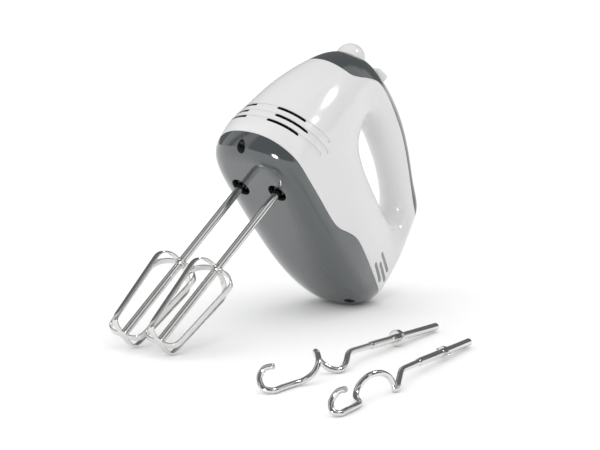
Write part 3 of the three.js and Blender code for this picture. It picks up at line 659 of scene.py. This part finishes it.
# ---- controls ------------------------------------------------------------------------------------
def make_button():
    """The dome on a straight foot that goes down into the cover."""
    z, r = BUTTON_Z, BUTTON_R
    foot = z - BUTTON_DEPTH
    arc = [(r * math.cos(a), z + r * math.sin(a)) for a in np.linspace(0, math.pi / 2, 20)[:-1]]
    profile = [(0, foot), (r - 0.5, foot), (r, foot + 0.5), *arc, (0, z + r)]
    dome = turned("eject_button_look", profile, CIRCLE_SIDES)
    placed(moved(dome, BUTTON_X, 0, 0), MIXER, "ejector", "eject_button", "white_plastic")


def block(x, half_length, low, high, half_width):
    """A plain block across the middle of the mixer."""
    rear, front = x - half_length, x + half_length
    return prism([(rear, low), (front, low), (front, high), (rear, high)], -half_width, half_width)


def make_slider():
    """The nub that the thumb moves, on a stem through the slot and a foot under the cover."""
    x = SLIDER_X
    cap = [
        (x + 5.5, 131.9), (x + 5.2, 135.4), (x + 4.4, 136),
        (x - 4.6, 138.6), (x - 5.5, 138.2), (x - 5.5, 133.0),
    ]
    slider = prism(cap, -5.2, 5.2)
    bevelled(slider, 0.5)
    cut(slider, block(x, 2.4, 124, 134, 2.5), "UNION")
    cut(slider, block(x, 4, 121, 124.2, 5), "UNION")
    slider.name = "speed_slider_look"
    placed(slider, MIXER, "slider", "speed_slider", "white_plastic")


def make_spring():
    """The ejector's return spring, which shortens against its bridge as the button goes down."""
    t = np.linspace(0, 1, 180)
    a = SPRING_TURNS * math.tau * t
    z = SPRING_LOW + (SPRING_HIGH - SPRING_LOW) * t
    path = np.stack([BUTTON_X + SPRING_R * np.cos(a), SPRING_R * np.sin(a), z], axis=1)
    spring = swept("ejector_spring_look", path, disc(SPRING_WIRE_R, 10), side=(1, 0, 0))
    placed(spring, MIXER, "housing", "ejector_spring", "steel")
    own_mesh(spring)


# ---- beaters -------------------------------------------------------------------------------------
def bezier(a, b, c, d, steps):
    """A cubic Bezier curve from a to d."""
    t = np.linspace(0, 1, steps)[:, None]
    a, b, c, d = (np.array(p, float) for p in (a, b, c, d))
    return (1 - t) ** 3 * a + 3 * (1 - t) ** 2 * t * b + 3 * (1 - t) * t ** 2 * c + t ** 3 * d


def wing_line():
    """Half loop of a wing as (radius, z): out from the crown, down the side and back to the hub."""
    shoulder, corner = (WING_R, -CROWN - 13), (TIP_R, -REACH + 7)
    top = bezier((1.5, -CROWN - 0.4), (9, -CROWN - 0.4), (WING_R + 0.8, -CROWN - 4), shoulder, 18)
    side = np.linspace(shoulder, corner, 8)[1:-1]
    foot = bezier(corner, (TIP_R - 0.6, -REACH + 2.1), (11.5, -REACH - 0.8), (1.5, -REACH + 0.2), 16)
    return np.vstack([top, side, foot])


def strip_section():
    """The strip's cross-section with its edges rolled over."""
    r = STRIP_EDGE
    w, h = STRIP / 2 - r, STRIP_T / 2 - r
    points = []
    for corner, (cx, cy) in enumerate(((w, h), (-w, h), (-w, -h), (w, -h))):
        for k in range(4):
            a = math.radians(90 * corner + 30 * k)
            points.append((cx + r * math.cos(a), cy + r * math.sin(a)))
    return points


def make_cage(name):
    """Two loops of flat wire, held by a ring on the shaft at the top and a round foot."""
    bore = SHAFT_R + 0.1
    low, high = -CROWN - 2.6, -CROWN + 1.6
    cage = ring_solid(name, [
        (bore, low), (bore + 0.7, low), (bore + 1, low + 0.4),
        (bore + 1, high - 0.4), (bore + 0.7, high), (bore, high),
    ])
    hub = turned("hub", [
        (0, -REACH - 0.9), (3.2, -REACH - 0.8), (4.1, -REACH - 0.1),
        (4.1, -REACH + 0.6), (3.4, -REACH + 1.2), (0, -REACH + 1.2),
    ])
    cut(cage, hub, "UNION")
    line = wing_line()
    for i in range(4):
        a = i * math.pi / 2 + (WING_TURN if i % 2 else -WING_TURN)
        path = [(r * math.cos(a), r * math.sin(a), z) for r, z in line]
        cut(cage, swept("wing", path, strip_section(), side=(-math.sin(a), math.cos(a), 0)), "UNION")
    cut(cage, rod(bore, -REACH + 1.25, 0, 0, 0))
    return cage


def make_collar(name):
    """The driving collar just inside the housing, with a lug on either side."""
    bore = SHAFT_R + 0.1
    collar = ring_solid(name, [(bore, 2.6), (3.7, 2.6), (4, 2.9), (4, 5.5), (3.7, 5.8), (bore, 5.8)])
    for half in SIDES.values():
        outline = [(half * 3.4, 3), (half * 6, 3), (half * 6, 5.4), (half * 3.4, 5.4)]
        lug = prism(outline[::half], -0.9, 0.9)
        bevelled(lug, 0.25, 2)
        cut(collar, lug, "UNION")
    return collar


def make_beater(side):
    """Cage, shaft and driving collar of one beater."""
    y = SIDES[side] * SOCKETS / 2
    body = f"beater_{side}"
    cage = make_cage(f"beater_cage_{side}_look")
    placed(moved(cage, 0, y, 0), MIXER, body, f"beater_cage_{side}", "chrome")

    foot = -REACH + 1.3
    shaft = turned(f"beater_shaft_{side}_look", [
        (0, foot), (SHAFT_R, foot), (SHAFT_R, SEAT - 0.6), (SHAFT_R - 0.6, SEAT), (0, SEAT),
    ])
    placed(moved(shaft, 0, y, 0), MIXER, body, f"beater_shaft_{side}", "chrome")

    collar = make_collar(f"beater_collar_{side}_look")
    placed(moved(collar, 0, y, 0), MIXER, body, f"beater_collar_{side}", "chrome")
    # The collar gets dark steel in place of its chrome: painted shade, as it sits deep in the dark socket.
    collar.data.materials[0] = FINISHES["shaded_steel"]


# ---- dough hooks ---------------------------------------------------------------------------------
# Each hook lies flat on the worktop. Its points are (along, across, height) from its plain end, in the
# direction of its heading, and are scaled to the hooks' true length.
HOOK_SCALE = 0.93
HOOK_SHAFT_R = 2.8
HOOK_R = 2.15  # radius of the bent wire
HOOK_LIFT = 0.1  # clearance above the worktop
HOOKS = {
    "left": {
        "start": (-59, 103.5), "heading": 0.1475, "fitting": 54, "fitting_node": "hook_collar_left",
        "shaft": ((0, 0, 3.6), (89.5, 0.6, 7.7)),
        "bends": [
            (80, 0.5, 7.3), (104, 0.9, 8.4), (117, 1.7, 9), (121.5, 2.6, 8.4), (130, 6.2, 5), (137, 8.4, 2.9),
            (143, 7.6, 2.2), (147, 2.6, 4), (149.8, -2, 8.5), (154.5, -3, 15.6), (162, 3.5, 16.6),
            (170, 9.2, 12.7), (176, 9, 6.8), (183.5, 5.6, 2.9), (190, 3.4, 2.2), (204, 2.4, 2.2),
            (214.5, 1.6, 2.2), (217.5, -3.4, 3.4), (215.6, -7.8, 7), (214.2, -8.6, 11), (212, -6.4, 15.6),
            (211, 0.4, 18),
        ],
    },
    "right": {
        "start": (-38.5, 147.5), "heading": 0.2517, "fitting": 43, "fitting_node": "hook_ears_right",
        "shaft": ((0, 0, 3.6), (85, 0.8, 7.5)),
        "bends": [
            (76, 0.7, 7.1), (100, 1.3, 8.2), (113, 2.2, 8.8), (118, 3.4, 8.4), (128, 6.6, 5.4), (136, 9.2, 3),
            (140.5, 9.6, 2.2), (140.4, 8.6, 5.4), (143.6, 6.6, 11), (155.5, 4.8, 16), (164.4, 1.2, 15.2),
            (169.4, -3, 9.4), (176.5, -1.8, 4.2), (184.6, 4.6, 2.4), (195.3, 6, 2.2), (207, 5.7, 2.2),
            (214.5, 5.2, 2.2), (217.6, 1.6, 3.6), (215.4, -0.8, 7.4), (213.2, -0.7, 11), (211.4, 2.4, 15.6),
            (211.6, 8.1, 18),
        ],
    },
}


def hook_point(hook, spot):
    """A point of a hook in the worktop frame, in millimetres."""
    along, across, height = (part * HOOK_SCALE for part in spot)
    c, s = math.cos(hook["heading"]), math.sin(hook["heading"])
    x, y = hook["start"]
    return Vector((x + along * c - across * s, y + along * s + across * c, height + HOOK_LIFT))


def on_shaft(hook, obj, along):
    """Lays a piece made along z on the hook's shaft, at a distance from its plain end."""
    start, end = (hook_point(hook, p) for p in hook["shaft"])
    way = (end - start).normalized()
    spot = start + way * along * HOOK_SCALE
    turn = Vector((0, 0, 1)).rotation_difference(way).to_matrix().to_4x4()
    obj.data.transform(Matrix.Translation(spot) @ turn)
    return obj


def make_fitting(side, bore):
    """What drives a hook: a round collar on the left one, a ring with two ears on the right one."""
    if side == "left":
        return ring_solid("hook_collar_left_look", [
            (bore, -1.9), (4.9, -1.9), (5.3, -1.5), (5.3, 1.5), (4.9, 1.9), (bore, 1.9),
        ])
    ring = ring_solid("hook_ears_right_look", [
        (bore, -1.2), (3.6, -1.2), (3.9, -0.9), (3.9, 0.9), (3.6, 1.2), (bore, 1.2),
    ])
    for low, high in ((3.2, 4.9), (-4.9, -3.2)):
        ear = prism([(-0.9, -1.2), (0.9, -1.2), (0.9, 1.2), (-0.9, 1.2)], low, high)
        cut(ring, bevelled(ear, 0.3, 2), "UNION")
    return ring


def make_hook(side, hook):
    """One dough hook, with its straight shaft, bent wire and fitting."""
    r, small = HOOK_SHAFT_R * HOOK_SCALE, HOOK_R * HOOK_SCALE
    end = hook["shaft"][1][0] * HOOK_SCALE
    shaft = turned(f"dough_hook_{side}_look", [
        (0, 0), (r - 0.6, 0), (r - 0.15, 0.25), (r, 0.7), (r, end - 0.6), (small, end), (0, end),
    ])
    on_shaft(hook, shaft, 0)
    path = spline([hook_point(hook, p) for p in hook["bends"]], 10)
    bent = swept("bent", path, disc(small))
    bevelled(bent, 0.5, angle=60)
    cut(shaft, bent, "UNION")
    placed(shaft, WORKTOP, f"hook_{side}", f"dough_hook_{side}", "chrome")

    fitting = make_fitting(side, r + 0.08)
    on_shaft(hook, fitting, hook["fitting"])
    placed(fitting, WORKTOP, f"hook_{side}", hook["fitting_node"], "chrome")


# ---- carried-over CAD nodes ----------------------------------------------------------------------
def dress_cad_nodes():
    """Inner and small pieces keep their CAD shape and get their slot's finish, or on screws a darker steel
    that is painted shade in their recesses.
    """
    slots = {part["node"]: part["material_slot"] for part in frame["record"]["subparts"]}
    for name, obj in frame["nodes"].items():
        if obj.hide_render:
            continue
        obj.data.materials.clear()
        obj.data.materials.append(FINISHES["shaded_steel" if "screw" in name else slots[name]])


# ---- floor, light and camera ---------------------------------------------------------------------
FLOOR_HALF = 12  # metres


def make_floor():
    """A wide white worktop."""
    h = FLOOR_HALF
    floor = piece("floor", [(-h, -h, 0), (h, -h, 0), (h, h, 0), (-h, h, 0)], [[0, 1, 2, 3]])
    white = shader("floor_white", (0.96, 0.96, 0.96), 0.6, spread=0.02, scale=2, tint=0.003, specular=0.0)
    floor.data.materials.append(white)


def heading(azimuth, elevation):
    """The unit vector towards an azimuth and elevation in degrees, from the nose towards the left."""
    a, e = math.radians(azimuth), math.radians(elevation)
    return Vector((math.cos(a) * math.cos(e), math.sin(a) * math.cos(e), math.sin(e)))


LAMP_AIM = Vector((0, 0, 0.1))


def make_lamp(name, azimuth, elevation, distance, size, power):
    """A round lamp aimed at the mixer. It shows in glossy surfaces only, and adds no soft light."""
    data = bpy.data.lights.new(name, "AREA")
    data.shape = "DISK"
    data.size = size
    data.energy = power
    lamp = bpy.data.objects.new(name, data)
    bpy.context.scene.collection.objects.link(lamp)
    away = heading(azimuth, elevation)
    lamp.location = LAMP_AIM + away * distance
    lamp.rotation_euler = away.to_track_quat("Z", "Y").to_euler()
    lamp.visible_diffuse = False


SKY = 0.91
SKY_TILT = (0.24, -0.1, 0.34)  # the soft light grows towards the front, the right and above
DIM = 0.15  # the studio in what gloss reflects
PANELS = ((95, 12, 0.8), (160, 10, 0.6), (-75, 10, 0.7), (-42, 9, 0.7))  # azimuth, half width, brightness
PANEL_EDGE = 3  # degrees over which a panel fades out


def sky_light(nodes, links, place, path):
    """Even white light that is a little stronger from SKY_TILT's side, and white to the camera."""
    tilt = nodes.new("ShaderNodeVectorMath")
    tilt.operation = "DOT_PRODUCT"
    tilt.inputs[1].default_value = SKY_TILT
    level = nodes.new("ShaderNodeMath")
    level.inputs[1].default_value = SKY
    backdrop = nodes.new("ShaderNodeMath")
    backdrop.operation = "MAXIMUM"
    light = nodes.new("ShaderNodeBackground")
    light.inputs["Color"].default_value = (1, 1, 1, 1)
    links.new(place.outputs["Generated"], tilt.inputs[0])
    links.new(tilt.outputs["Value"], level.inputs[0])
    links.new(level.outputs["Value"], backdrop.inputs[0])
    links.new(path.outputs["Is Camera Ray"], backdrop.inputs[1])
    links.new(backdrop.outputs["Value"], light.inputs["Strength"])
    return light


def studio_light(nodes, links, place):
    """A dim studio with tall bright panels, by azimuth."""
    light = nodes.new("ShaderNodeBackground")
    round_about = nodes.new("ShaderNodeTexGradient")
    round_about.gradient_type = "RADIAL"
    panels = nodes.new("ShaderNodeValToRGB")
    stops = panels.color_ramp.elements
    for stop in stops:
        stop.color = (DIM, DIM, DIM, 1)
    for azimuth, half, bright in PANELS:
        fade = half + PANEL_EDGE
        for offset, value in ((-fade, DIM), (-half, bright), (half, bright), (fade, DIM)):
            stop = stops.new(((azimuth + offset) / 360 + 0.5) % 1)
            stop.color = (value, value, value, 1)
    links.new(place.outputs["Generated"], round_about.inputs["Vector"])
    links.new(round_about.outputs["Fac"], panels.inputs["Fac"])
    links.new(panels.outputs["Color"], light.inputs["Color"])
    return light


def make_world():
    """Soft white light all round, with a darker studio and tall panels in what gloss reflects."""
    world = bpy.data.worlds.new("studio")
    bpy.context.scene.world = world
    world.use_nodes = True
    nodes, links = world.node_tree.nodes, world.node_tree.links
    nodes.clear()
    place = nodes.new("ShaderNodeTexCoord")
    path = nodes.new("ShaderNodeLightPath")
    mix = nodes.new("ShaderNodeMixShader")
    out = nodes.new("ShaderNodeOutputWorld")
    links.new(path.outputs["Is Glossy Ray"], mix.inputs["Fac"])
    links.new(sky_light(nodes, links, place, path).outputs["Background"], mix.inputs[1])
    links.new(studio_light(nodes, links, place).outputs["Background"], mix.inputs[2])
    links.new(mix.outputs["Shader"], out.inputs["Surface"])


CAMERA_TARGET = Vector((0.07606, 0.0235, 0.0679))
CAMERA_AZIMUTH, CAMERA_ELEVATION = 41.13, 11.5  # degrees
CAMERA_DISTANCE = 2.463
CAMERA_LENS, CAMERA_SENSOR = 223.6, 36
CAMERA_FAR = 60


def make_camera():
    """A long lens, low and to the left of the nose."""
    data = bpy.data.cameras.new("camera")
    data.sensor_width = CAMERA_SENSOR
    data.lens = CAMERA_LENS
    data.clip_end = CAMERA_FAR
    camera = bpy.data.objects.new("camera", data)
    bpy.context.scene.collection.objects.link(camera)
    away = heading(CAMERA_AZIMUTH, CAMERA_ELEVATION)
    camera.location = CAMERA_TARGET + away * CAMERA_DISTANCE
    camera.rotation_euler = away.to_track_quat("Z", "Y").to_euler()
    bpy.context.scene.camera = camera


make_camera()
make_housing()
make_button()
make_slider()
make_spring()
for side in SIDES:
    make_beater(side)
for side, hook in HOOKS.items():
    make_hook(side, hook)
dress_cad_nodes()
make_floor()
make_world()
make_lamp("neck_softbox", azimuth=132, elevation=50, distance=1.5, size=0.35, power=7)
make_lamp("front_lamp", azimuth=20, elevation=4, distance=2.2, size=0.5, power=15)
bpy.context.scene.view_settings.view_transform = "Standard"
